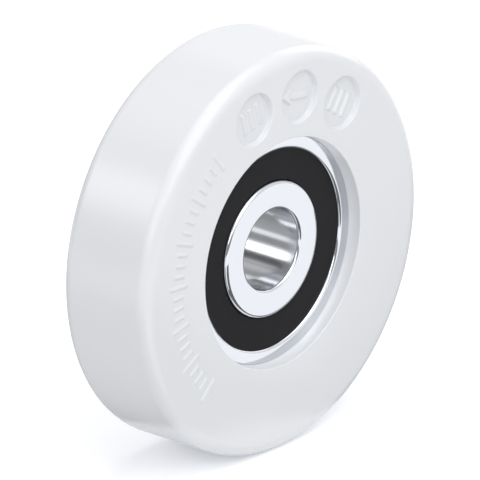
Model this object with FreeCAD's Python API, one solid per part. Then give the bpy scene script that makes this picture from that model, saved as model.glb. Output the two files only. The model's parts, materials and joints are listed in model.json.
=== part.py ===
"""Guide roller: a moulded polyamide roller body pressed onto a sealed deep-groove ball bearing.

The roller turns about the Y axis. The origin lies on that axis at the middle of the roller's width,
the front face looks along -Y and +Z is up. All sizes are in millimetres.
"""

import FreeCAD, Part
import math
import os

Vector = FreeCAD.Vector
ORIGIN = Vector(0, 0, 0)
SPIN_AXIS = Vector(0, 1, 0)
FULL_TURN = 360.0
FRONT = -1
REAR = 1

# Roller body
roller_diameter = 75.0
roller_width = 20.0
tread_edge_radius = 2.6
recess_depth = 2.5
recess_draft = 0.25
recess_lip_radius = 0.2
shoulder_height = 2.5
shoulder_lip_radius = 0.8

# Bearing rings, from the bore outwards
bearing_bore = 15.0
bore_corner_radius = 0.8
inner_land_drop = 1.6
inner_land_corner_radius = 0.7
outer_land_rise = 2.35
seal_seat_diameter = 38.0
seal_groove_wall = 2.0
rim_overlap = 0.5
rim_straight = 0.05
outside_corner_radius = 0.15
groove_relief = 0.16
race_clearance = 0.02

# Balls
ball_count = 7
ball_diameter = 7.938

# Ribbon cage and its rivets
pocket_clearance = 0.131
ribbon_thickness = 0.6
cage_land_clearance = 0.475
rivet_diameter = 1.2
rivet_head_margin = 0.5
rivet_head_height = 0.4

# Seals
cage_seal_clearance = 0.35
seal_thickness = 0.8
seal_recess = 0.65
seal_lip_thickness = 0.5
seal_lip_length = 1.0
seal_lip_clearance = 0.08

# Mould marks on the front face
mark_circle_shift = 0.625
insert_angles = (-15.5, 9.5, 34.5)
insert_mouth_diameter = 9.8
insert_draft = 0.2
insert_depth = 1.0
insert_relief = 0.4
pointer_length = 8.6
pointer_width = 1.2
pointer_head_length = 2.6
pointer_head_overhang = 0.9
stroke_count = 3
stroke_spacing = 2.0
stroke_length = 4.4
stroke_width = 0.9
tick_count = 25
tick_first_angle = -38.0
tick_step_angle = -4.0
tick_group = 4
tick_short_length = 2.6
tick_long_length = 4.6
tick_width = 0.6
tick_relief = 0.15

# Radii that follow from the sizes above: the balls run midway between the bore and the bearing's seat
bore_radius = bearing_bore / 2
seal_seat_radius = seal_seat_diameter / 2
rim_radius = seal_seat_radius - rim_overlap
seat_radius = seal_seat_radius + seal_groove_wall
pitch_radius = (bore_radius + seat_radius) / 2
inner_land_radius = pitch_radius - inner_land_drop
outer_land_radius = pitch_radius + outer_land_rise
ball_radius = ball_diameter / 2
groove_radius = ball_radius + groove_relief
inner_groove_centre = pitch_radius - ball_radius - race_clearance + groove_radius
outer_groove_centre = pitch_radius + ball_radius + race_clearance - groove_radius
pocket_radius = ball_radius + pocket_clearance
dome_radius = pocket_radius + ribbon_thickness
ribbon_inner_radius = inner_land_radius + cage_land_clearance
ribbon_outer_radius = outer_land_radius - cage_land_clearance
rivet_circle_radius = (ribbon_inner_radius + ribbon_outer_radius) / 2
rivet_head_radius = (ribbon_outer_radius - ribbon_inner_radius) / 2 - rivet_head_margin
roller_radius = roller_diameter / 2
recess_radius = seat_radius + recess_draft
shoulder_radius = seat_radius - shoulder_height
tread_edge_start = roller_radius - tread_edge_radius
mark_circle_radius = (recess_radius + tread_edge_start) / 2 + mark_circle_shift

# Places along the axis: the seals stand clear of the cage, and the rings end beyond the seals
seal_inner_face = dome_radius + cage_seal_clearance
seal_outer_face = seal_inner_face + seal_thickness
bearing_width = 2 * (seal_outer_face + seal_recess)
rim_corner_radius = seal_recess - rim_straight
front_face_y = -roller_width / 2
rear_face_y = roller_width / 2
bearing_front_y = front_face_y + recess_depth
bearing_rear_y = bearing_front_y + bearing_width
bearing_middle_y = (bearing_front_y + bearing_rear_y) / 2


def rounded_outline(corners):
    """Closed wire in the XY plane through (radius, y, rounding) corners, each rounded by a tangent arc."""
    points = [Vector(radius, y, 0) for radius, y, _ in corners]
    edges = []
    arc_ends = []
    arcs = []
    for index, (_, _, rounding) in enumerate(corners):
        corner = points[index]
        to_last = (points[index - 1] - corner).normalize()
        to_next = (points[(index + 1) % len(points)] - corner).normalize()
        half_angle = to_last.getAngle(to_next) / 2
        setback = rounding / math.tan(half_angle)
        start = corner + to_last * setback
        end = corner + to_next * setback
        arc_ends.append((start, end))
        if rounding > 0:
            bisector = (to_last + to_next).normalize()
            middle = corner + bisector * (rounding / math.sin(half_angle) - rounding)
            arcs.append(Part.Arc(start, middle, end).toShape())
        else:
            arcs.append(None)
    for index, arc in enumerate(arcs):
        if arc is not None:
            edges.append(arc)
        next_start = arc_ends[(index + 1) % len(arcs)][0]
        edges.append(Part.LineSegment(arc_ends[index][1], next_start).toShape())
    return Part.Wire(edges)


def turned(corners):
    """Solid of revolution about the spin axis, from the corners of its half section."""
    return Part.Face(rounded_outline(corners)).revolve(ORIGIN, SPIN_AXIS, FULL_TURN)


def tube(inner_radius, outer_radius, low_y, high_y):
    """Plain round tube about the spin axis between two planes."""
    return turned([
        (inner_radius, low_y, 0),
        (outer_radius, low_y, 0),
        (outer_radius, high_y, 0),
        (inner_radius, high_y, 0),
    ])


def on_pitch(radius, angle):
    """Point on a circle in the balls' plane, at an angle from +Z towards +X in degrees."""
    turn = math.radians(angle)
    return Vector(radius * math.sin(turn), bearing_middle_y, radius * math.cos(turn))


def ball_angles():
    """Angles of the ball centres about the spin axis."""
    return [FULL_TURN * index / ball_count for index in range(ball_count)]


def rivet_angles():
    """Angles of the cage rivets, halfway between neighbouring balls."""
    return [angle + FULL_TURN / ball_count / 2 for angle in ball_angles()]


def face_bar(angle, across, width, length, bottom_y, top_y):
    """Straight bar on the mark circle: width runs round the face, length outwards, across aside."""
    corner = Vector(across - width / 2, top_y, mark_circle_radius - length / 2)
    bar = Part.makeBox(width, bottom_y - top_y, length, corner)
    bar.rotate(ORIGIN, SPIN_AXIS, angle)
    return bar


def mould_insert(angle):
    """Tapered round recess of an exchangeable mould insert, carried on past the face to cut cleanly."""
    mouth_radius = insert_mouth_diameter / 2
    floor = Vector(0, front_face_y + insert_depth, mark_circle_radius)
    recess = Part.makeCone(
        mouth_radius - insert_draft,
        mouth_radius + insert_draft,
        2 * insert_depth,
        floor,
        -SPIN_AXIS,
    )
    recess.rotate(ORIGIN, SPIN_AXIS, angle)
    return recess


def pointer(angle, bottom_y, top_y):
    """Arrow on the mark circle that points back round the face: a shaft with a wider head."""
    tip = -pointer_length / 2
    neck = tip + pointer_head_length
    tail = pointer_length / 2
    shaft = pointer_width / 2
    head = shaft + pointer_head_overhang
    outline = [
        (tip, 0),
        (neck, -head),
        (neck, -shaft),
        (tail, -shaft),
        (tail, shaft),
        (neck, shaft),
        (neck, head),
    ]
    points = [Vector(across, bottom_y, mark_circle_radius + along) for across, along in outline]
    arrow = Part.Face(Part.makePolygon(points + points[:1])).extrude(SPIN_AXIS * (top_y - bottom_y))
    arrow.rotate(ORIGIN, SPIN_AXIS, angle)
    return arrow


def insert_marks():
    """Raised marks rooted in the recess floors: a pointer in the middle one, plain strokes in the others."""
    bottom = front_face_y + 2 * insert_depth
    top = front_face_y + insert_depth - insert_relief
    middle = len(insert_angles) // 2
    marks = []
    for index, angle in enumerate(insert_angles):
        if index == middle:
            marks.append(pointer(angle, bottom, top))
            continue
        for stroke in range(stroke_count):
            across = (stroke - (stroke_count - 1) / 2) * stroke_spacing
            marks.append(face_bar(angle, across, stroke_width, stroke_length, bottom, top))
    return marks


def scale_ticks():
    """Low raised ticks rooted in the front face along an arc, every few of them longer."""
    bottom = front_face_y + tick_relief
    top = front_face_y - tick_relief
    ticks = []
    for index in range(tick_count):
        length = tick_long_length if index % tick_group == 0 else tick_short_length
        angle = tick_first_angle + index * tick_step_angle
        ticks.append(face_bar(angle, 0, tick_width, length, bottom, top))
    return ticks


def roller_body():
    """Moulded roller: plain tread, recess opening from the bearing seat to the face, rear shoulder."""
    blank = turned([
        (recess_radius, front_face_y, recess_lip_radius),
        (roller_radius, front_face_y, tread_edge_radius),
        (roller_radius, rear_face_y, tread_edge_radius),
        (shoulder_radius, rear_face_y, shoulder_lip_radius),
        (shoulder_radius, bearing_rear_y, 0),
        (seat_radius, bearing_rear_y, 0),
        (seat_radius, bearing_front_y, 0),
    ])
    recessed = blank.cut([mould_insert(angle) for angle in insert_angles])
    return recessed.fuse(insert_marks() + scale_ticks()).removeSplitter()


def bearing_inner_ring():
    """Inner ring: bore, two ground faces, and the raceway groove turned into its land."""
    blank = turned([
        (bore_radius, bearing_front_y, bore_corner_radius),
        (inner_land_radius, bearing_front_y, inner_land_corner_radius),
        (inner_land_radius, bearing_rear_y, inner_land_corner_radius),
        (bore_radius, bearing_rear_y, bore_corner_radius),
    ])
    return blank.cut(raceway(inner_groove_centre))


def bearing_outer_ring():
    """Outer ring: a seal groove behind a rounded rim at each end, and the raceway groove between."""
    blank = turned([
        (rim_radius, bearing_front_y, rim_corner_radius),
        (seat_radius, bearing_front_y, outside_corner_radius),
        (seat_radius, bearing_rear_y, outside_corner_radius),
        (rim_radius, bearing_rear_y, rim_corner_radius),
        (rim_radius, bearing_middle_y + seal_outer_face, 0),
        (seal_seat_radius, bearing_middle_y + seal_outer_face, 0),
        (seal_seat_radius, bearing_middle_y + seal_inner_face, 0),
        (outer_land_radius, bearing_middle_y + seal_inner_face, 0),
        (outer_land_radius, bearing_middle_y - seal_inner_face, 0),
        (seal_seat_radius, bearing_middle_y - seal_inner_face, 0),
        (seal_seat_radius, bearing_middle_y - seal_outer_face, 0),
        (rim_radius, bearing_middle_y - seal_outer_face, 0),
    ])
    return blank.cut(raceway(outer_groove_centre))


def raceway(groove_centre):
    """Torus that cuts a raceway groove, slightly more open than the balls."""
    return Part.makeTorus(groove_centre, groove_radius, Vector(0, bearing_middle_y, 0), SPIN_AXIS)


def seal(side):
    """Rubber seal on one side: clipped into the outer ring, thinned to a lip over the inner ring's land."""
    lip_radius = inner_land_radius + seal_lip_clearance
    root_radius = lip_radius + seal_lip_length
    section = [
        (lip_radius, seal_outer_face),
        (seal_seat_radius, seal_outer_face),
        (seal_seat_radius, seal_inner_face),
        (root_radius, seal_inner_face),
        (lip_radius, seal_outer_face - seal_lip_thickness),
    ]
    return turned([(radius, bearing_middle_y + side * away, 0) for radius, away in section])


def ball(angle):
    """One steel ball on the pitch circle."""
    return Part.makeSphere(ball_radius, on_pitch(pitch_radius, angle))


def cage_half(side):
    """Pressed ribbon of the cage on one side: flat lands for the rivets, and a dome over every ball."""

    def band(height):
        reach = sorted((bearing_middle_y, bearing_middle_y + side * height))
        return tube(ribbon_inner_radius, ribbon_outer_radius, *reach)

    domes = [pocket_sphere(dome_radius, angle, side) for angle in ball_angles()]
    ribbon = band(ribbon_thickness).fuse([band(dome_radius).common(dome) for dome in domes])
    pockets = [pocket_sphere(pocket_radius, angle, side) for angle in ball_angles()]
    holes = [rivet_shank(angle) for angle in rivet_angles()]
    return ribbon.cut(pockets + holes).removeSplitter()


def pocket_sphere(radius, angle, side):
    """Sphere round a ball's centre, its poles along the radius and its seam beyond the balls' plane."""
    centre = on_pitch(pitch_radius, angle)
    outwards = Vector(centre.x, 0, centre.z).normalize()
    seam = SPIN_AXIS * -side
    sphere = Part.makeSphere(radius)
    turn = FreeCAD.Rotation(seam, outwards.cross(seam), outwards, "ZXY")
    sphere.Placement = FreeCAD.Placement(centre, turn)
    return sphere


def rivet_cylinder(angle, radius, low, high):
    """Cylinder on a rivet's axis between two distances from the balls' plane."""
    base = on_pitch(rivet_circle_radius, angle) + SPIN_AXIS * low
    return Part.makeCylinder(radius, high - low, base, SPIN_AXIS)


def rivet_shank(angle):
    """Shank of one rivet, as long as the two ribbons are thick."""
    return rivet_cylinder(angle, rivet_diameter / 2, -ribbon_thickness, ribbon_thickness)


def rivet(angle):
    """One cage rivet with a flat round head on each side."""
    head_top = ribbon_thickness + rivet_head_height
    front_head = rivet_cylinder(angle, rivet_head_radius, -head_top, -ribbon_thickness)
    rear_head = rivet_cylinder(angle, rivet_head_radius, ribbon_thickness, head_top)
    return rivet_shank(angle).fuse([front_head, rear_head]).removeSplitter()


def pieces():
    """Every piece of the roller by its node name."""
    named = {
        "roller_body": roller_body(),
        "bearing_outer_ring": bearing_outer_ring(),
        "bearing_inner_ring": bearing_inner_ring(),
        "front_seal": seal(FRONT),
        "rear_seal": seal(REAR),
        "cage_front_half": cage_half(FRONT),
        "cage_rear_half": cage_half(REAR),
        "cage_rivets": Part.makeCompound([rivet(angle) for angle in rivet_angles()]),
    }
    for number, angle in enumerate(ball_angles(), start=1):
        named[f"ball_{number}"] = ball(angle)
    return named


os.makedirs("parts", exist_ok=True)
for node, shape in pieces().items():
    shape.exportStep(f"parts/{node}.step")
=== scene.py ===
"""Guide roller: surfaces of the moulded body and its sealed bearing, their finishes, and a plain studio.

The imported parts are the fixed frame. Every visible piece is a numpy surface in that frame. The roller turns
about Y, its front face looks along -Y, +Z is up, and lengths are in metres. Angles round the axis run from
+Z towards +X.
"""

import json
import math

import bpy
import numpy as np
from bpy.props import FloatProperty, FloatVectorProperty, IntProperty, PointerProperty
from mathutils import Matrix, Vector


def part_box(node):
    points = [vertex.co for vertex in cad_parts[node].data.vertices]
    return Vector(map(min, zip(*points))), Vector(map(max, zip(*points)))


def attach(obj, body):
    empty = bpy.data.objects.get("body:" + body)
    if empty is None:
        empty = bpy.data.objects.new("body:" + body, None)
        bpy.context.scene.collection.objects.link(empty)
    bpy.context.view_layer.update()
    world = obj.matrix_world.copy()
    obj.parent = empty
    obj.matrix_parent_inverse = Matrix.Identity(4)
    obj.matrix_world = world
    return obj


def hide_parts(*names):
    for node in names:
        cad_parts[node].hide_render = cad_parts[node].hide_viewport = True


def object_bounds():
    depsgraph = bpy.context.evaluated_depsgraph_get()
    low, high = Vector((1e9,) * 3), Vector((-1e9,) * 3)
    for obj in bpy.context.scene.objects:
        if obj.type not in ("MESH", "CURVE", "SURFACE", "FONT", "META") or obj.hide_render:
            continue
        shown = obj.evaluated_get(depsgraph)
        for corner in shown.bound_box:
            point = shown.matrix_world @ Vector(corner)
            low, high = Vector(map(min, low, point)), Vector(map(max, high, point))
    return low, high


bl_info = {
    "name": "Guide Roller",
    "version": (1, 0, 0),
    "blender": (4, 5, 0),
    "location": "View3D > Sidebar > Guide Roller",
    "description": "Builds the surfaces, finishes and studio of a guide roller on a sealed ball bearing",
    "category": "Object",
}

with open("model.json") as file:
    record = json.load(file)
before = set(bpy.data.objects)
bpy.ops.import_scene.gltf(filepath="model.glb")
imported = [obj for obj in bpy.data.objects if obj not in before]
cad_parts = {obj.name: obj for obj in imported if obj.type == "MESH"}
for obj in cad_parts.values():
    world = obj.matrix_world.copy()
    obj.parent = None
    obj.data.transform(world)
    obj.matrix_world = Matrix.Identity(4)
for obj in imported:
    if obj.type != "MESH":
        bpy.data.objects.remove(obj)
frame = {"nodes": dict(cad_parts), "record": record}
cad_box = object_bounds()

MM = 0.001
BODY_LOW, BODY_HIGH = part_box("roller_body")
OUTER_LOW, OUTER_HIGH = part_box("bearing_outer_ring")
INNER_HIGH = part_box("bearing_inner_ring")[1]
SEAL_LOW, SEAL_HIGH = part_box("front_seal")
BALL_LOW, BALL_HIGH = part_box("ball_1")
BORE_MOUNT = next(mount for mount in frame["record"]["mounts"] if mount["name"] == "bore")
BORE_RADIUS = BORE_MOUNT["dims"]["r_mm"] * MM
TICK_RELIEF = 0.15 * MM
FRONT = -1
REAR = 1

# Sampling of the surfaces
ARC_STEP = 0.22 * MM
ARC_STEPS_LEAST = 6
ARC_STEPS_MOST = 16
SUPPORT = 0.04 * MM
RING_COLUMNS = 384
RACEWAY_POINTS = 25
CREASE_ANGLE = math.radians(60)

# Spacing of rows across the marked band of the body's front face, and the band's margin beside the inserts
BAND_STEP = 0.16 * MM
BAND_MARGIN = 1.0 * MM

# Spacing of columns round the body in degrees, and the fine columns' margin beside the inserts
COLUMN_FINE = 0.28
COLUMN_MEDIUM = 1 / 3
COLUMN_COARSE = 1.5
COLUMN_MARGIN = 1.0

# Reach of the rounding to either side of a mark's foot and top, as a share of its slope
SLOPE_ROUNDING = 0.35

# Colour sockets of a Mix node
MIX_A = 6
MIX_B = 7
MIX_RESULT = 2

# Place and side of each square lamp in metres. The fill lamp gives matt light only, so that the bore doesn't
# mirror it.
LAMPS = {
    "key": ((-0.167, -0.624, 0.669), 0.85),
    "top": ((0.07, -0.08, 0.83), 0.75),
    "side": ((0.85, 0.1, 0.35), 0.6),
    "left": ((-0.8, -0.3, 0.25), 0.5),
    "rim": ((-0.597, 0.54, 0.402), 0.25),
    "fill": ((-0.45, 0.58, 0.52), 0.6),
}

FLOOR_LEVEL = cad_box[0].z
FLOOR_HALF = 0.4
CARD_LEVEL = FLOOR_LEVEL + 0.05 * MM
UPRIGHT_CARD_COLUMNS = 33
FLOOR_CARD_COLUMNS = 145
FLOOR_CARD_ROWS = 5

# Floor cards: name, tone, first and last bearing in degrees, where 0 is the roller's front and 90 its right
FLOOR_CARDS = (
    ("front floor card", "dark_card", -100, 75),
    ("rear floor card", "grey_card", 75, 260),
)

# Upright cards: name, tone, first and last bearing in degrees, distance, lower and upper edge in metres
UPRIGHT_CARDS = (
    ("low card", "grey_card", 150, 358, 0.6, FLOOR_LEVEL, 0.15),
    ("dark high card", "dark_card", -160, -112, 0.9, 0.62, 1.06),
    ("pale high card", "pale_card", 140, 200, 0.9, 0.8, 1.2),
)

# Outline of the floor cards: bearing in degrees, near and far edge in mm. In the two bays the pale floor
# stays free, so that the rings' flat faces mirror it from the front left and from the front right.
FLOOR_CARD_EDGES = (
    (-180, 32, 150), (-125, 22, 140), (-100, 22, 125), (-60, 32, 125),
    (-57, 30, 125), (-55, 30, 80), (-51, 29, 55), (-46, 28, 43), (-31, 25, 43), (-29, 25, 95),
    (-20, 23, 125), (20, 23, 105),
    (29, 23, 95), (31, 23, 43), (46, 23, 43), (51, 23, 55), (55, 23, 80), (57, 23, 125),
    (75, 23, 150), (120, 32, 150), (180, 32, 150),
)


def length(name, description, default):
    """A length in metres as a property."""
    return FloatProperty(name=name, description=description, default=default, subtype="DISTANCE",
                         unit="LENGTH", precision=5)


def angle(name, description, degrees):
    """An angle, given in degrees, as a property."""
    return FloatProperty(name=name, description=description, default=math.radians(degrees), subtype="ANGLE",
                         unit="ROTATION")


def linear_rgb(hex_code):
    """Linear colour of an sRGB hex value."""
    shown = np.array([int(hex_code[place:place + 2], 16) for place in (0, 2, 4)]) / 255
    return tuple(np.where(shown <= 0.04045, shown / 12.92, ((shown + 0.055) / 1.055) ** 2.4).tolist())


def colour(name, description, hex_code):
    """A colour, given as an sRGB hex value, as a property."""
    return FloatVectorProperty(name=name, description=description, default=linear_rgb(hex_code),
                               subtype="COLOR", size=3, min=0.0, max=1.0)


def amount(name, description, default):
    """A plain number as a property."""
    return FloatProperty(name=name, description=description, default=default, min=0.0)


def count(name, description, default):
    """A whole number as a property."""
    return IntProperty(name=name, description=description, default=default, min=1)


class BodySizes(bpy.types.PropertyGroup):
    """Half section of the moulded roller body."""

    tread_radius: length("Tread radius", "Radius of the plain tread", BODY_HIGH.z)
    front_y: length("Front face", "Place of the front face on the axis", BODY_LOW.y + TICK_RELIEF)
    rear_y: length("Rear face", "Place of the rear face on the axis", BODY_HIGH.y)
    tread_edge: length("Tread edge", "Rounding between the tread and each face", 2.6 * MM)
    recess_draft: length("Recess draft", "How far the recess wall opens towards the face", 0.25 * MM)
    recess_lip: length("Recess lip", "Rounding of the recess at the front face", 0.2 * MM)
    shoulder_height: length("Shoulder height", "Height of the shoulder behind the bearing", 2.5 * MM)
    shoulder_lip: length("Shoulder lip", "Rounding of the rear opening", 0.8 * MM)


class MarkSizes(bpy.types.PropertyGroup):
    """Mould inserts and raised marks on the front face."""

    circle_radius: length("Mark circle", "Radius of the circle that the marks lie on", 28.7 * MM)
    soft_edge: length("Soft edge", "Width over which a mark rises", 0.3 * MM)
    insert_first: angle("First insert", "Angle of the first mould insert", -15.5)
    insert_step: angle("Insert step", "Angle from one mould insert to the next", 25.0)
    insert_count: count("Inserts", "Number of mould inserts", 3)
    mouth_radius: length("Insert mouth", "Radius of an insert's recess at the face", 4.9 * MM)
    insert_draft: length("Insert draft", "How far an insert's wall opens towards the face", 0.2 * MM)
    insert_edge: length("Insert edge", "Rounding of an insert's mouth and of its floor's edge", 0.08 * MM)
    insert_depth: length("Insert depth", "Depth of an insert's recess", 1.0 * MM)
    insert_relief: length("Insert relief", "Height of the marks above an insert's floor", 0.4 * MM)
    pointer_length: length("Pointer length", "Length of the arrow in the middle insert", 8.6 * MM)
    pointer_width: length("Pointer width", "Width of the arrow's shaft", 1.2 * MM)
    head_length: length("Head length", "Length of the arrow's head", 2.6 * MM)
    head_overhang: length("Head overhang", "How far the arrow's head stands out beside its shaft", 0.9 * MM)
    stroke_count: count("Strokes", "Number of strokes in the other inserts", 3)
    stroke_spacing: length("Stroke spacing", "Distance from stroke to stroke", 2.0 * MM)
    stroke_length: length("Stroke length", "Length of a stroke", 4.4 * MM)
    stroke_width: length("Stroke width", "Width of a stroke", 0.9 * MM)
    tick_count: count("Ticks", "Number of raised ticks", 25)
    tick_first: angle("First tick", "Angle of the first tick", -38.0)
    tick_step: angle("Tick step", "Angle from tick to tick", -4.0)
    tick_group: count("Tick group", "Every this many ticks one is long", 4)
    tick_short: length("Short tick", "Length of a short tick", 2.6 * MM)
    tick_long: length("Long tick", "Length of a long tick", 4.6 * MM)
    tick_width: length("Tick width", "Width of a tick", 0.6 * MM)
    tick_relief: length("Tick relief", "Height of a tick above the face", TICK_RELIEF)


class BearingSizes(bpy.types.PropertyGroup):
    """Half sections of the two rings and of the seals."""

    seat_radius: length("Outside radius", "Outside radius of the outer ring", OUTER_HIGH.z)
    front_y: length("Front", "Place of the rings' front faces on the axis", OUTER_LOW.y)
    rear_y: length("Rear", "Place of the rings' rear faces on the axis", OUTER_HIGH.y)
    outside_edge: length("Outside edge", "Rounding of the outer ring's outside edges", 0.15 * MM)
    outer_land_rise: length("Outer land", "Height of the outer land over the balls' circle", 2.35 * MM)
    rim_overlap: length("Rim overlap", "How far the rim reaches in over the seal", 0.5 * MM)
    rim_edge: length("Rim edge", "Rounding of the rim", 0.6 * MM)
    bore_radius: length("Bore radius", "Radius of the bore", BORE_RADIUS)
    bore_edge: length("Bore edge", "Rounding of the bore's edges", 0.6 * MM)
    inner_land_radius: length("Inner land", "Outside radius of the inner ring", INNER_HIGH.z)
    inner_land_edge: length("Inner land edge", "Rounding of the inner ring's outside edges", 0.7 * MM)
    ball_radius: length("Ball radius", "Radius of a ball", (BALL_HIGH.z - BALL_LOW.z) / 2)
    pitch_radius: length("Balls' circle", "Radius of the balls' circle", (BALL_HIGH.z + BALL_LOW.z) / 2)
    groove_relief: length("Groove relief", "How much wider than a ball the raceway curves", 0.16 * MM)
    race_gap: length("Race gap", "Gap between a ball and its raceways", 0.02 * MM)
    seal_seat_radius: length("Seal seat", "Outside radius of a seal", SEAL_HIGH.z)
    seal_face: length("Seal face", "How far a seal lies below the rings' faces", SEAL_LOW.y - OUTER_LOW.y)
    seal_thickness: length("Seal thickness", "Thickness of a seal", SEAL_HIGH.y - SEAL_LOW.y)
    seal_lip_gap: length("Seal lip gap", "Gap between a seal's lip and the inner ring", 0.08 * MM)
    seal_lip_length: length("Seal lip length", "Length over which a seal thins to its lip", 1.0 * MM)
    seal_lip_thickness: length("Seal lip thickness", "Thickness of a seal at its lip", 0.5 * MM)
    seal_lip_edge: length("Seal lip edge", "Rounding of a seal's lip", 0.12 * MM)


class FinishColours(bpy.types.PropertyGroup):
    """Colours of the finishes."""

    polyamide: colour("Polyamide", "White moulded polyamide", "E9EBEE")
    polyamide_thin: colour("Polyamide shade", "The same polyamide where it cooled more slowly", "E7E9ED")
    steel: colour("Bearing steel", "Ground and polished bearing steel", "D6D8DC")
    rubber: colour("Rubber", "Black moulded nitrile rubber", "1C1C1E")
    rubber_bloom: colour("Rubber bloom", "The same rubber with a thin bloom", "202022")
    sheet: colour("Cage sheet", "Pressed steel sheet of the cage", "B9BABC")


class StudioSettings(bpy.types.PropertyGroup):
    """Camera, lamps and floor."""

    azimuth: angle("Azimuth", "Camera's turn round the roller", -49.79)
    elevation: angle("Elevation", "Camera's height above the horizon", 21.70)
    frame_width: length("Frame width", "Width of the picture at the roller", 84.99 * MM)
    aim_drop: length("Aim drop", "How far below the roller's centre the camera aims", 0.06 * MM)
    camera_distance: length("Camera distance", "Distance of the camera from the roller", 0.6)
    sky: amount("Sky", "Light of the surroundings", 0.27)
    key_power: amount("Key lamp", "Power of the large lamp high in front in watts", 4.3)
    top_power: amount("Top lamp", "Power of the large lamp overhead in watts", 2.8)
    side_power: amount("Side lamp", "Power of the lamp at the right in watts", 1.7)
    left_power: amount("Left lamp", "Power of the lamp at the left in watts", 1.2)
    rim_power: amount("Rim lamp", "Power of the small lamp behind at the left in watts", 0.4)
    fill_power: amount("Fill lamp", "Power of the large matt lamp behind at the left in watts", 0.8)
    floor_tone: colour("Floor", "Pale floor", "F0F0F0")
    floor_lift: amount("Floor lift", "How far the floor is lifted to white where it is looked at", 0.41)
    lift_tone: colour("Lift tone", "Cool white of that lift", "F4F7FF")
    dark_card: colour("Dark card", "Dark cards on the floor in front and high behind", "747474")
    grey_card: colour("Grey card", "Grey cards on the floor behind and low round the left", "B4B4B4")
    pale_card: colour("Pale card", "Pale card high behind", "E0E0E0")


class RollerSettings(bpy.types.PropertyGroup):
    """All settings of the guide roller."""

    body: PointerProperty(type=BodySizes)
    marks: PointerProperty(type=MarkSizes)
    bearing: PointerProperty(type=BearingSizes)
    colours: PointerProperty(type=FinishColours)
    studio: PointerProperty(type=StudioSettings)


def unit(vectors):
    """Each row divided by its length."""
    return vectors / np.linalg.norm(vectors, axis=-1, keepdims=True)


def half_section(corners):
    """Closed half section through corners of (radius, y, rounding, steps of the run to the next corner).

    A rounded corner becomes a tangent arc. With h half the angle between the corner's two sides, the arc
    meets the sides rounding / tan h from the corner, and its centre lies rounding / sin h along the
    bisector. A straight run gets its steps and a close row beside each rounded end.
    """
    points = np.array([corner[:2] for corner in corners])
    rounding = np.array([corner[2] for corner in corners])
    to_last = unit(np.roll(points, 1, axis=0) - points)
    to_next = unit(np.roll(points, -1, axis=0) - points)
    half = np.arccos(np.clip(np.sum(to_last * to_next, axis=1), -1, 1)) / 2
    setback = (rounding / np.tan(half))[:, None]
    starts = points + to_last * setback
    ends = points + to_next * setback
    rows = []
    for index, (_, _, radius, steps) in enumerate(corners):
        following = (index + 1) % len(corners)
        if radius > 0:
            bisector = unit(to_last[index] + to_next[index])
            centre = points[index] + bisector * radius / np.sin(half[index])
            rows.append(tangent_arc(centre, starts[index], ends[index]))
        else:
            rows.append(points[index:index + 1])
        run = starts[following] - ends[index]
        reach = np.linalg.norm(run)
        close = [SUPPORT / reach] * int(radius > 0) + [1 - SUPPORT / reach] * int(rounding[following] > 0)
        shares = np.unique(np.concatenate([np.linspace(0, 1, steps + 1)[1:-1], close]))
        rows.append(ends[index] + shares[:, None] * run)
    return np.concatenate(rows)


def tangent_arc(centre, start, end):
    """Points on the shorter arc about centre from start to end, with turn t between the spokes to both.

    At share s the spoke is (sin((1 - s) t) start spoke + sin(s t) end spoke) / sin t.
    """
    spokes = np.array([start - centre, end - centre])
    radius = np.linalg.norm(spokes[0])
    turn = np.arccos(np.clip(np.dot(spokes[0], spokes[1]) / radius**2, -1, 1))
    steps = int(np.clip(np.ceil(radius * turn / ARC_STEP), ARC_STEPS_LEAST, ARC_STEPS_MOST))
    share = np.linspace(0, 1, steps + 1)[:, None]
    mixed = np.sin((1 - share) * turn) * spokes[0] + np.sin(share * turn) * spokes[1]
    return centre + mixed / np.sin(turn)


def turned_points(section, angles):
    """Surface of revolution about Y: row i and column j give (r_i sin a_j, y_i, r_i cos a_j)."""
    radius, along = section[:, :1], section[:, 1:]
    grid = np.empty((len(section), len(angles), 3))
    grid[..., 0] = radius * np.sin(angles)
    grid[..., 1] = along
    grid[..., 2] = radius * np.cos(angles)
    return grid


def closed_mesh(name, grid):
    """Mesh of a grid whose rows and columns both close.

    Its quads turn outwards for a section that runs anticlockwise in the plane of radius and y.
    """
    rows, columns = grid.shape[:2]
    index = np.arange(rows * columns).reshape(rows, columns)
    right = np.roll(index, -1, axis=1)
    corners = [index, right, np.roll(right, -1, axis=0), np.roll(index, -1, axis=0)]
    quads = np.stack(corners, axis=-1).reshape(-1, 4)
    mesh = bpy.data.meshes.new(name)
    mesh.vertices.add(rows * columns)
    mesh.vertices.foreach_set("co", grid.astype(np.float32).ravel())
    mesh.loops.add(quads.size)
    mesh.loops.foreach_set("vertex_index", quads.astype(np.int32).ravel())
    mesh.polygons.add(len(quads))
    mesh.polygons.foreach_set("loop_start", np.arange(0, quads.size, 4, dtype=np.int32))
    mesh.polygons.foreach_set("use_smooth", np.ones(len(quads), dtype=bool))
    mesh.update(calc_edges=True)
    mesh.set_sharp_from_angle(angle=CREASE_ANGLE)
    return mesh


def place_piece(context, name, grid, material, body, node):
    """Object of a closed grid that rides on a body and stands for a node of the frame."""
    mesh = closed_mesh(name, grid)
    mesh.materials.append(material)
    piece = bpy.data.objects.new(name, mesh)
    context.scene.collection.objects.link(piece)
    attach(piece, body)
    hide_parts(node)


def ring_angles():
    """Even columns all the way round."""
    return np.linspace(0, 2 * np.pi, RING_COLUMNS, endpoint=False)


def soft_ramp(value):
    """Ramp with a parabola for a bend: 0 below -s, the value v above s, and (v + s)^2 / 4s between."""
    bend = np.clip(value, -SLOPE_ROUNDING, SLOPE_ROUNDING)
    over = np.maximum(value - SLOPE_ROUNDING, 0)
    return (bend + SLOPE_ROUNDING) ** 2 / (4 * SLOPE_ROUNDING) + over


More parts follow.
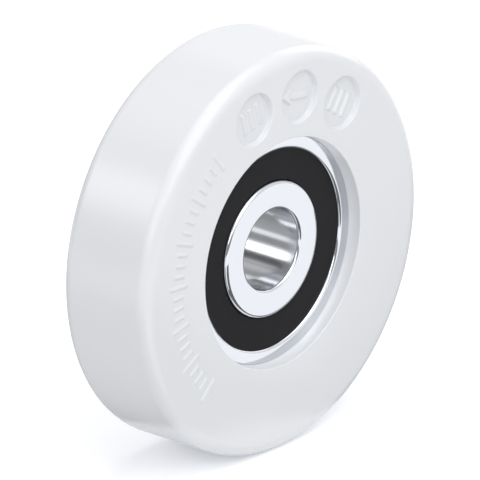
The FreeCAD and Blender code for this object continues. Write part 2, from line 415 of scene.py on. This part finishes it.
def mark_height(outside, soft_edge):
    """Height share at a distance outside a mark's outline: 1 well inside, 0 well outside, 0.5 on it.

    It is ramp(v) - ramp(v - 1) with v = 0.5 - distance / soft edge.
    """
    value = 0.5 - outside / soft_edge
    return soft_ramp(value) - soft_ramp(value - 1)


def raised_bar(across, along, width, reach, soft_edge):
    """Height share of a bar with rounded corners of radius c.

    The distance to the outline is that of a rounded box. With q = |p| - half + c it is the length of q's
    positive part, plus the larger part of q where both are negative, less c.
    """
    corner = width / 3
    over = np.stack([np.abs(across) - width / 2 + corner, np.abs(along) - reach / 2 + corner])
    outside = np.linalg.norm(np.maximum(over, 0), axis=0) + np.minimum(over.max(axis=0), 0) - corner
    return mark_height(outside, soft_edge)


def raised_head(across, along, reach, half_width, soft_edge):
    """Height share of an arrow's head with its tip at the origin.

    The distance to the outline is the largest of those to its base and to the two slanted sides at the tip.
    """
    slant = math.atan2(half_width, reach)
    beside = np.abs(along) * math.cos(slant) - across * math.sin(slant)
    return mark_height(np.maximum(beside, across - reach), soft_edge)


def insert_section(marks):
    """Section of an insert's recess: distances from its axis on the even grid and on the piece, and depths.

    The distance on the piece crawls past the floor's edge and past the mouth, so the grid's lines crowd
    there and both edges stay sharp and round. Further off it catches up with the even grid.
    """
    mouth, edge, depth = marks.mouth_radius, marks.insert_edge, marks.insert_depth
    floor = mouth - marks.insert_draft
    middle = (mouth + floor) / 2
    wall, crowd, catch_up = 0.12 * MM, 0.42 * MM, 0.9 * MM
    even = middle + np.array([-middle, -catch_up, -crowd, -wall, wall, crowd, catch_up])
    moved = np.array([0, middle - catch_up, floor - edge, floor, mouth, mouth + edge, middle + catch_up])
    return even, moved, np.array([depth, depth, depth, depth - edge, edge, 0, 0])


def insert_relief(across, along, number, marks):
    """Height share of the marks on an insert's floor: an arrow in the middle insert, strokes in the others.

    The arrow's shaft starts in the middle of its head, and the higher of the two counts.
    """
    if number == marks.insert_count // 2:
        from_tip = across + marks.pointer_length / 2
        half_width = marks.pointer_width / 2 + marks.head_overhang
        head = raised_head(from_tip, along, marks.head_length, half_width, marks.soft_edge)
        shaft_length = marks.pointer_length - marks.head_length / 2
        from_middle = across - marks.head_length / 4
        shaft = raised_bar(from_middle, along, shaft_length, marks.pointer_width, marks.soft_edge)
        return np.maximum(head, shaft)
    shifts = (np.arange(marks.stroke_count) - (marks.stroke_count - 1) / 2) * marks.stroke_spacing
    return sum(raised_bar(across - shift, along, marks.stroke_width, marks.stroke_length, marks.soft_edge)
               for shift in shifts)


def marked_face(face, marks):
    """Points of the front face with its marks: inserts sink in, strokes, arrow and ticks stand out along -Y.

    An insert also moves points towards or away from its axis, by the ratio of moved to even distance.
    """
    marked = face.copy()
    for number in range(marks.insert_count):
        turn = marks.insert_first + number * marks.insert_step
        across, along = local_place(face, turn, marks)
        distance = np.hypot(across, along)
        even, moved, depth = insert_section(marks)
        ratio = np.interp(distance, even, moved) / np.maximum(distance, SUPPORT)
        stretch = np.where(distance < even[-1], ratio, 1)
        marked[..., 0] += (stretch - 1) * (across * math.cos(turn) + along * math.sin(turn))
        marked[..., 2] += (stretch - 1) * (along * math.cos(turn) - across * math.sin(turn))
        relief = insert_relief(across * stretch, along * stretch, number, marks)
        marked[..., 1] += np.interp(distance, even, depth) - marks.insert_relief * relief
    for number in range(marks.tick_count):
        across, along = local_place(face, marks.tick_first + number * marks.tick_step, marks)
        reach = marks.tick_short if number % marks.tick_group else marks.tick_long
        tick = raised_bar(across, along, marks.tick_width, reach, marks.soft_edge)
        marked[..., 1] -= marks.tick_relief * tick
    return marked


def local_place(face, turn, marks):
    """Distances round and outwards of points from the point of the mark circle at a turn."""
    across = face[..., 0] * math.cos(turn) - face[..., 2] * math.sin(turn)
    along = face[..., 0] * math.sin(turn) + face[..., 2] * math.cos(turn) - marks.circle_radius
    return across, along


def body_angles(marks):
    """Columns round the body: fine across the inserts and the ticks, coarse elsewhere."""
    reach = math.degrees(marks.mouth_radius / marks.circle_radius) + COLUMN_MARGIN
    inserts_start = math.degrees(marks.insert_first) - reach
    inserts_end = math.degrees(marks.insert_first + (marks.insert_count - 1) * marks.insert_step) + reach
    half_step = math.degrees(abs(marks.tick_step)) / 2
    ticks_end = math.degrees(marks.tick_first) + half_step
    ticks_start = math.degrees(marks.tick_first + (marks.tick_count - 1) * marks.tick_step) - half_step
    spans = (
        (-180.0, ticks_start, COLUMN_COARSE),
        (ticks_start, ticks_end, COLUMN_MEDIUM),
        (ticks_end, inserts_start, COLUMN_COARSE),
        (inserts_start, inserts_end, COLUMN_FINE),
        (inserts_end, 180.0, COLUMN_COARSE),
    )
    columns = [np.linspace(start, end, math.ceil((end - start) / step), endpoint=False)
               for start, end, step in spans]
    return np.radians(np.concatenate(columns))


def body_section(body, bearing, marks):
    """Half section of the body, with fine rows across the band of the front face that carries the marks."""
    band = marks.mouth_radius + BAND_MARGIN
    band_steps = math.ceil(2 * band / BAND_STEP)
    recess_radius = bearing.seat_radius + body.recess_draft
    shoulder_radius = bearing.seat_radius - body.shoulder_height
    return half_section([
        (recess_radius, body.front_y, body.recess_lip, 1),
        (marks.circle_radius - band, body.front_y, 0, band_steps),
        (marks.circle_radius + band, body.front_y, 0, 1),
        (body.tread_radius, body.front_y, body.tread_edge, 6),
        (body.tread_radius, body.rear_y, body.tread_edge, 4),
        (shoulder_radius, body.rear_y, body.shoulder_lip, 2),
        (shoulder_radius, bearing.rear_y, 0, 1),
        (bearing.seat_radius, bearing.rear_y, 0, 2),
        (bearing.seat_radius, bearing.front_y, 0, 2),
    ])


class GUIDE_ROLLER_OT_body(bpy.types.Operator):
    """Builds the moulded roller body with its recess, mould inserts and raised marks"""

    bl_idname = "guide_roller.body"
    bl_label = "Roller Body"

    def execute(self, context):
        settings = context.scene.guide_roller
        section = body_section(settings.body, settings.bearing, settings.marks)
        grid = turned_points(section, body_angles(settings.marks))
        on_face = np.isclose(section[:, 1], settings.body.front_y)
        grid[on_face] = marked_face(grid[on_face], settings.marks)
        polyamide = moulded_polyamide(settings.colours)
        place_piece(context, "moulded_body", grid, polyamide, "roller", "roller_body")
        return {"FINISHED"}


def raceway_corners(bearing, land_radius, outwards, from_side):
    """Corners of a raceway's arc across a land, running along the axis away from one side.

    The groove's circle has the ball's radius plus a relief, and its bottom lies a race gap beyond the ball.
    It is cut off where it meets the land.
    """
    groove = bearing.ball_radius + bearing.groove_relief
    centre = bearing.pitch_radius + outwards * (bearing.ball_radius + bearing.race_gap - groove)
    middle = (bearing.front_y + bearing.rear_y) / 2
    half_width = math.sqrt(groove**2 - (land_radius - centre) ** 2)
    turn = np.linspace(-1, 1, RACEWAY_POINTS) * math.asin(half_width / groove)
    radius = centre + outwards * groove * np.cos(turn)
    along = middle - from_side * groove * np.sin(turn)
    return [(r, y, 0, 1) for r, y in zip(radius.tolist(), along.tolist())]


def outer_ring_section(bearing):
    """Half section of the outer ring: ground outside, rounded rims, seal grooves, and a raceway between."""
    rim = bearing.seal_seat_radius - bearing.rim_overlap
    land = bearing.pitch_radius + bearing.outer_land_rise
    rear_outer = bearing.rear_y - bearing.seal_face
    rear_inner = rear_outer - bearing.seal_thickness
    front_outer = bearing.front_y + bearing.seal_face
    front_inner = front_outer + bearing.seal_thickness
    return half_section([
        (rim, bearing.front_y, bearing.rim_edge, 1),
        (bearing.seat_radius, bearing.front_y, bearing.outside_edge, 1),
        (bearing.seat_radius, bearing.rear_y, bearing.outside_edge, 1),
        (rim, bearing.rear_y, bearing.rim_edge, 1),
        (rim, rear_outer, 0, 1),
        (bearing.seal_seat_radius, rear_outer, 0, 1),
        (bearing.seal_seat_radius, rear_inner, 0, 1),
        (land, rear_inner, 0, 1),
        *raceway_corners(bearing, land, 1, REAR),
        (land, front_inner, 0, 1),
        (bearing.seal_seat_radius, front_inner, 0, 1),
        (bearing.seal_seat_radius, front_outer, 0, 1),
        (rim, front_outer, 0, 1),
    ])


def inner_ring_section(bearing):
    """Half section of the inner ring: bore, two flat faces with rounded edges, and a raceway in its land."""
    land = bearing.inner_land_radius
    return half_section([
        (bearing.bore_radius, bearing.front_y, bearing.bore_edge, 1),
        (land, bearing.front_y, bearing.inner_land_edge, 1),
        *raceway_corners(bearing, land, -1, FRONT),
        (land, bearing.rear_y, bearing.inner_land_edge, 1),
        (bearing.bore_radius, bearing.rear_y, bearing.bore_edge, 4),
    ])


class GUIDE_ROLLER_OT_rings(bpy.types.Operator):
    """Builds the outer and inner ring of the bearing"""

    bl_idname = "guide_roller.rings"
    bl_label = "Bearing Rings"

    def execute(self, context):
        settings = context.scene.guide_roller
        steel = polished_steel(settings.colours)
        outer = turned_points(outer_ring_section(settings.bearing), ring_angles())
        inner = turned_points(inner_ring_section(settings.bearing), ring_angles())
        place_piece(context, "outer_ring", outer, steel, "roller", "bearing_outer_ring")
        place_piece(context, "inner_ring", inner, steel, "inner_ring", "bearing_inner_ring")
        return {"FINISHED"}


def seal_section(bearing, side):
    """Half section of one seal: a flat ring held in the outer ring, with a thin lip at the inner ring."""
    face = bearing.front_y + bearing.seal_face if side == FRONT else bearing.rear_y - bearing.seal_face
    lip = bearing.inner_land_radius + bearing.seal_lip_gap
    corners = [
        (lip, face, bearing.seal_lip_edge, 1),
        (bearing.seal_seat_radius, face, 0, 1),
        (bearing.seal_seat_radius, face - side * bearing.seal_thickness, 0, 1),
        (lip + bearing.seal_lip_length, face - side * bearing.seal_thickness, 0, 1),
        (lip, face - side * bearing.seal_lip_thickness, bearing.seal_lip_edge, 1),
    ]
    section = half_section(corners)
    return section if side == FRONT else section[::-1]


class GUIDE_ROLLER_OT_seals(bpy.types.Operator):
    """Builds the two rubber seals of the bearing"""

    bl_idname = "guide_roller.seals"
    bl_label = "Seals"

    def execute(self, context):
        settings = context.scene.guide_roller
        rubber = nitrile_rubber(settings.colours)
        for side, name, node in (
            (FRONT, "front_rubber_seal", "front_seal"),
            (REAR, "rear_rubber_seal", "rear_seal"),
        ):
            grid = turned_points(seal_section(settings.bearing, side), ring_angles())
            place_piece(context, name, grid, rubber, "roller", node)
        return {"FINISHED"}


class GUIDE_ROLLER_OT_rolling_set(bpy.types.Operator):
    """Gives the balls, the cage halves and the rivets inside the bearing their finishes"""

    bl_idname = "guide_roller.rolling_set"
    bl_label = "Balls and Cage"

    def execute(self, context):
        colours = context.scene.guide_roller.colours
        finishes = {"ball": polished_steel(colours), "cage": pressed_sheet(colours)}
        for name, node in frame["nodes"].items():
            finish = finishes.get(name.split("_")[0])
            if finish is not None:
                for slot in node.material_slots:
                    slot.material = finish
        return {"FINISHED"}


def add_node(tree, kind, settings=None, values=None, links=None):
    """Adds a node with its settings, its sockets' values and its links from other nodes' outputs."""
    node = tree.nodes.new(kind)
    for name, value in (settings or {}).items():
        setattr(node, name, value)
    for name, value in (values or {}).items():
        node.inputs[name].default_value = value
    for name, source in (links or {}).items():
        tree.links.new(source, node.inputs[name])
    return node


def new_finish(name):
    """Empty node material with its output, or the one already made under that name."""
    made = bpy.data.materials.get(name)
    if made is not None:
        return made, None, None
    material = bpy.data.materials.new(name)
    material.use_nodes = True
    material.node_tree.nodes.clear()
    output = add_node(material.node_tree, "ShaderNodeOutputMaterial")
    return material, material.node_tree, output


def per_metre(size_mm):
    """Texture scale at which one feature of a pattern is size_mm across."""
    return 1.0 / (size_mm * MM)


def moulded_polyamide(colours):
    """White polyamide, injection-moulded in a finely eroded mould.

    To the eye it is a satin skin with soft, broad highlights and hardly visible clouds, 14 mm across, where
    the melt cooled at different speeds. The mould's grain, typically about 0.05 mm, is too fine for the
    picture and is drawn at 0.35 mm.
    """
    material, tree, output = new_finish("moulded white polyamide")
    if tree is None:
        return material
    place = add_node(tree, "ShaderNodeTexCoord").outputs["Object"]
    clouds = add_node(tree, "ShaderNodeTexNoise", values={"Scale": per_metre(14), "Detail": 2.0},
                      links={"Vector": place})
    tint = add_node(tree, "ShaderNodeMix", {"data_type": "RGBA"},
                    values={MIX_A: (*colours.polyamide, 1), MIX_B: (*colours.polyamide_thin, 1)},
                    links={"Factor": clouds.outputs["Fac"]})
    grain = add_node(tree, "ShaderNodeTexNoise", values={"Scale": per_metre(0.35), "Detail": 3.0},
                     links={"Vector": place})
    sheen = add_node(tree, "ShaderNodeMapRange", values={"To Min": 0.2, "To Max": 0.28},
                     links={"Value": grain.outputs["Fac"]})
    skin = add_node(tree, "ShaderNodeBump", values={"Strength": 0.08, "Distance": 0.02 * MM},
                    links={"Height": grain.outputs["Fac"]})
    shader = add_node(tree, "ShaderNodeBsdfPrincipled", values={"IOR": 1.53},
                      links={"Base Color": tint.outputs[MIX_RESULT], "Roughness": sheen.outputs["Result"],
                             "Normal": skin.outputs["Normal"]})
    tree.links.new(shader.outputs["BSDF"], output.inputs["Surface"])
    return material


def polished_steel(colours):
    """Through-hardened bearing steel, ground and lapped.

    To the eye it is a mirror with faint rings round the axis. The bore is only ground, so it mirrors its
    surroundings as soft streaks. Grinding lines, typically about 0.02 mm apart, are too fine for the picture
    and are drawn at 0.3 mm.
    """
    material, tree, output = new_finish("ground and polished bearing steel")
    if tree is None:
        return material
    place = add_node(tree, "ShaderNodeTexCoord").outputs["Object"]
    parts = add_node(tree, "ShaderNodeSeparateXYZ", links={"Vector": place})
    flat = add_node(tree, "ShaderNodeCombineXYZ", links={"X": parts.outputs["X"], "Y": parts.outputs["Z"]})
    radius = add_node(tree, "ShaderNodeVectorMath", {"operation": "LENGTH"},
                      links={0: flat.outputs["Vector"]})
    turned = add_node(tree, "ShaderNodeCombineXYZ",
                      links={"X": radius.outputs["Value"], "Y": parts.outputs["Y"]})
    rings = add_node(tree, "ShaderNodeTexNoise", values={"Scale": per_metre(0.3), "Detail": 2.0},
                     links={"Vector": turned.outputs["Vector"]})
    polish = add_node(tree, "ShaderNodeMapRange", values={"To Min": 0.05, "To Max": 0.09},
                      links={"Value": rings.outputs["Fac"]})
    ground = add_node(tree, "ShaderNodeMapRange",
                      values={"From Min": BORE_RADIUS, "From Max": BORE_RADIUS + 0.3 * MM,
                              "To Min": 0.11, "To Max": 0.0},
                      links={"Value": radius.outputs["Value"]})
    finish = add_node(tree, "ShaderNodeMath", {"operation": "ADD"},
                      links={0: polish.outputs["Result"], 1: ground.outputs["Result"]})
    scratch = add_node(tree, "ShaderNodeBump", values={"Strength": 0.05, "Distance": 0.002 * MM},
                       links={"Height": rings.outputs["Fac"]})
    shader = add_node(tree, "ShaderNodeBsdfPrincipled",
                      values={"Base Color": (*colours.steel, 1), "Metallic": 1.0},
                      links={"Roughness": finish.outputs["Value"], "Normal": scratch.outputs["Normal"]})
    tree.links.new(shader.outputs["BSDF"], output.inputs["Surface"])
    return material


def nitrile_rubber(colours):
    """Black nitrile rubber, compression-moulded.

    To the eye it is matt and nearly even, with a faint bloom in patches of 5 mm. The mould's grain,
    typically about 0.05 mm, is too fine for the picture and is drawn at 0.25 mm.
    """
    material, tree, output = new_finish("moulded black nitrile rubber")
    if tree is None:
        return material
    place = add_node(tree, "ShaderNodeTexCoord").outputs["Object"]
    bloom = add_node(tree, "ShaderNodeTexNoise", values={"Scale": per_metre(5), "Detail": 3.0},
                     links={"Vector": place})
    tint = add_node(tree, "ShaderNodeMix", {"data_type": "RGBA"},
                    values={MIX_A: (*colours.rubber, 1), MIX_B: (*colours.rubber_bloom, 1)},
                    links={"Factor": bloom.outputs["Fac"]})
    grain = add_node(tree, "ShaderNodeTexNoise", values={"Scale": per_metre(0.25), "Detail": 2.0},
                     links={"Vector": place})
    skin = add_node(tree, "ShaderNodeBump", values={"Strength": 0.15, "Distance": 0.01 * MM},
                    links={"Height": grain.outputs["Fac"]})
    shader = add_node(tree, "ShaderNodeBsdfPrincipled",
                      values={"Roughness": 0.7, "IOR": 1.5, "Specular IOR Level": 0.2},
                      links={"Base Color": tint.outputs[MIX_RESULT], "Normal": skin.outputs["Normal"]})
    tree.links.new(shader.outputs["BSDF"], output.inputs["Surface"])
    return material


def pressed_sheet(colours):
    """Cold-rolled steel sheet, pressed to shape: bright but not polished to the eye, with a rolled grain.

    The grain, typically about 0.1 mm, is too fine for the picture and is drawn at 0.4 mm. The seals hide it
    until one is taken off.
    """
    material, tree, output = new_finish("pressed cage sheet steel")
    if tree is None:
        return material
    place = add_node(tree, "ShaderNodeTexCoord").outputs["Object"]
    grain = add_node(tree, "ShaderNodeTexNoise", values={"Scale": per_metre(0.4), "Detail": 3.0},
                     links={"Vector": place})
    gloss = add_node(tree, "ShaderNodeMapRange", values={"To Min": 0.28, "To Max": 0.42},
                     links={"Value": grain.outputs["Fac"]})
    shader = add_node(tree, "ShaderNodeBsdfPrincipled",
                      values={"Base Color": (*colours.sheet, 1), "Metallic": 1.0},
                      links={"Roughness": gloss.outputs["Result"]})
    tree.links.new(shader.outputs["BSDF"], output.inputs["Surface"])
    return material


def looked_at(tree):
    """Output that is 1 for rays that look at a surface, straight or by a mirror or glass, or else 0."""
    path = add_node(tree, "ShaderNodeLightPath")
    seen = add_node(tree, "ShaderNodeMath", {"operation": "MAXIMUM"},
                    links={0: path.outputs["Is Camera Ray"], 1: path.outputs["Is Glossy Ray"]})
    either = add_node(tree, "ShaderNodeMath", {"operation": "MAXIMUM"},
                      links={0: seen.outputs["Value"], 1: path.outputs["Is Transmission Ray"]})
    return either.outputs["Value"]


def floor_finish(studio):
    """Pale studio floor: matt, lifted to white where it is looked at, with the roller's shadow kept."""
    material, tree, output = new_finish("pale studio floor")
    if tree is None:
        return material
    matt = add_node(tree, "ShaderNodeBsdfDiffuse", values={"Color": (*studio.floor_tone, 1)})
    lift = add_node(tree, "ShaderNodeEmission",
                    values={"Color": (*studio.lift_tone, 1), "Strength": studio.floor_lift})
    lifted = add_node(tree, "ShaderNodeAddShader",
                      links={0: matt.outputs["BSDF"], 1: lift.outputs["Emission"]})
    chosen = add_node(tree, "ShaderNodeMixShader",
                      links={0: looked_at(tree), 1: matt.outputs["BSDF"], 2: lifted.outputs["Shader"]})
    tree.links.new(chosen.outputs["Shader"], output.inputs["Surface"])
    return material


def card_finish(name, tone):
    """Matt painted card, even all over."""
    material, tree, output = new_finish(name)
    if tree is None:
        return material
    matt = add_node(tree, "ShaderNodeBsdfDiffuse", values={"Color": (*tone, 1)})
    tree.links.new(matt.outputs["BSDF"], output.inputs["Surface"])
    return material


def studio_world(studio):
    """White surroundings where they are looked at, and soft even light on the roller."""
    world = bpy.data.worlds.new("studio surroundings")
    world.use_nodes = True
    tree = world.node_tree
    tree.nodes.clear()
    light = add_node(tree, "ShaderNodeBackground", values={"Color": (1, 1, 1, 1), "Strength": studio.sky})
    white = add_node(tree, "ShaderNodeBackground", values={"Color": (1, 1, 1, 1), "Strength": 1.0})
    chosen = add_node(tree, "ShaderNodeMixShader",
                      links={0: looked_at(tree), 1: light.outputs["Background"],
                             2: white.outputs["Background"]})
    add_node(tree, "ShaderNodeOutputWorld", links={"Surface": chosen.outputs["Shader"]})
    return world


def soft_lamp(context, name, place, size, power):
    """Square area lamp at a place, facing the roller's centre."""
    lamp = bpy.data.lights.new(name, "AREA")
    lamp.shape = "SQUARE"
    lamp.size = size
    lamp.energy = power
    holder = bpy.data.objects.new(name, lamp)
    holder.location = place
    holder.rotation_euler = (-Vector(place)).to_track_quat("-Z", "Y").to_euler()
    context.scene.collection.objects.link(holder)
    return holder


def floor_plane(context, studio):
    """Flat square floor under the roller, as a grid of two by two corners."""
    corners = [(x, y, FLOOR_LEVEL) for y in (-FLOOR_HALF, FLOOR_HALF) for x in (-FLOOR_HALF, FLOOR_HALF)]
    mesh = bpy.data.meshes.new("floor")
    mesh.from_pydata(corners, [], [(0, 1, 3, 2)])
    mesh.materials.append(floor_finish(studio))
    floor = bpy.data.objects.new("floor", mesh)
    context.scene.collection.objects.link(floor)


def mirrored_card(context, name, grid, tone):
    """Card from a grid of points that only glossy surfaces show: it gives the steel something to mirror."""
    rows, columns = grid.shape[:2]
    index = np.arange(rows * columns).reshape(rows, columns)
    corners = [index[:-1, :-1], index[:-1, 1:], index[1:, 1:], index[1:, :-1]]
    quads = np.stack(corners, axis=-1).reshape(-1, 4)
    mesh = bpy.data.meshes.new(name)
    mesh.from_pydata(grid.reshape(-1, 3).tolist(), [], quads.tolist())
    mesh.materials.append(card_finish(name, tone))
    card = bpy.data.objects.new(name, mesh)
    card.visible_camera = False
    card.visible_diffuse = False
    card.visible_transmission = False
    card.visible_shadow = False
    context.scene.collection.objects.link(card)


def upright_card(first, last, distance, low, high):
    """Points of a card bent round the vertical axis, between two heights.

    At bearing b and distance d a point is (d sin b, -d cos b, height).
    """
    bearing = np.radians(np.linspace(first, last, UPRIGHT_CARD_COLUMNS))
    height = np.array([low, high])[:, None]
    grid = np.empty((2, len(bearing), 3))
    grid[..., 0] = distance * np.sin(bearing)
    grid[..., 1] = -distance * np.cos(bearing)
    grid[..., 2] = height
    return grid


def floor_card(first, last):
    """Points of a flat card round the roller: (d sin b, -d cos b, level) at bearing b and distance d.

    The distances are even between the near and the far edge, which run from stop to stop of their table.
    """
    bearing = np.linspace(first, last, FLOOR_CARD_COLUMNS)
    stops, near, far = np.array(FLOOR_CARD_EDGES).T
    edges = [np.interp((bearing + 180) % 360 - 180, stops, edge) * MM for edge in (near, far)]
    distance = edges[0] + np.linspace(0, 1, FLOOR_CARD_ROWS)[:, None] * (edges[1] - edges[0])
    grid = np.empty((*distance.shape, 3))
    grid[..., 0] = distance * np.sin(np.radians(bearing))
    grid[..., 1] = -distance * np.cos(np.radians(bearing))
    grid[..., 2] = CARD_LEVEL
    return grid


def photo_camera(context, studio):
    """Parallel camera at the photograph's viewing angle, aimed just below the roller's centre."""
    turn, rise = studio.azimuth, studio.elevation
    back = Vector((math.sin(turn) * math.cos(rise), -math.cos(turn) * math.cos(rise), math.sin(rise)))
    facing = (-back).to_track_quat("-Z", "Y")
    aim = facing @ Vector((0, -studio.aim_drop, 0))
    lens = bpy.data.cameras.new("photo camera")
    lens.type = "ORTHO"
    lens.ortho_scale = studio.frame_width
    lens.clip_start = 0.01
    lens.clip_end = 20.0
    camera = bpy.data.objects.new("photo camera", lens)
    camera.location = aim + back * studio.camera_distance
    camera.rotation_mode = "QUATERNION"
    camera.rotation_quaternion = facing
    context.scene.collection.objects.link(camera)
    context.scene.camera = camera


class GUIDE_ROLLER_OT_stage(bpy.types.Operator):
    """Builds the floor, the cards, the lamps, the surroundings and the camera"""

    bl_idname = "guide_roller.stage"
    bl_label = "Studio"

    def execute(self, context):
        studio = context.scene.guide_roller.studio
        floor_plane(context, studio)
        for name, tone, *outline in FLOOR_CARDS:
            mirrored_card(context, name, floor_card(*outline), getattr(studio, tone))
        for name, tone, *outline in UPRIGHT_CARDS:
            mirrored_card(context, name, upright_card(*outline), getattr(studio, tone))
        for name, (place, size) in LAMPS.items():
            lamp = soft_lamp(context, f"{name} lamp", place, size, getattr(studio, f"{name}_power"))
            lamp.visible_glossy = name != "fill"
        context.scene.world = studio_world(studio)
        context.scene.view_settings.view_transform = "Standard"
        photo_camera(context, studio)
        return {"FINISHED"}


class GUIDE_ROLLER_PT_panel(bpy.types.Panel):
    """Lists the roller's pieces and the studio"""

    bl_idname = "GUIDE_ROLLER_PT_panel"
    bl_label = "Guide Roller"
    bl_space_type = "VIEW_3D"
    bl_region_type = "UI"
    bl_category = "Guide Roller"

    def draw(self, context):
        settings = context.scene.guide_roller
        bearing_operators = (GUIDE_ROLLER_OT_rings, GUIDE_ROLLER_OT_seals, GUIDE_ROLLER_OT_rolling_set)
        for operators, groups in (
            ((GUIDE_ROLLER_OT_body,), (settings.body, settings.marks)),
            (bearing_operators, (settings.bearing,)),
            ((GUIDE_ROLLER_OT_stage,), (settings.colours, settings.studio)),
        ):
            box = self.layout.box()
            for operator in operators:
                box.operator(operator.bl_idname)
            for group in groups:
                for name in type(group).__annotations__:
                    box.prop(group, name)


CLASSES = (
    BodySizes,
    MarkSizes,
    BearingSizes,
    FinishColours,
    StudioSettings,
    RollerSettings,
    GUIDE_ROLLER_OT_body,
    GUIDE_ROLLER_OT_rings,
    GUIDE_ROLLER_OT_seals,
    GUIDE_ROLLER_OT_rolling_set,
    GUIDE_ROLLER_OT_stage,
    GUIDE_ROLLER_PT_panel,
)


def register():
    """Registers the classes and the scene's settings."""
    for cls in CLASSES:
        bpy.utils.register_class(cls)
    bpy.types.Scene.guide_roller = PointerProperty(type=RollerSettings)


def unregister():
    """Removes the scene's settings and the classes."""
    del bpy.types.Scene.guide_roller
    for cls in reversed(CLASSES):
        bpy.utils.unregister_class(cls)


def main():
    """Builds everything in order."""
    register()
    bpy.ops.guide_roller.body()
    bpy.ops.guide_roller.rings()
    bpy.ops.guide_roller.seals()
    bpy.ops.guide_roller.rolling_set()
    bpy.ops.guide_roller.stage()


if __name__ == "__main__":
    main()
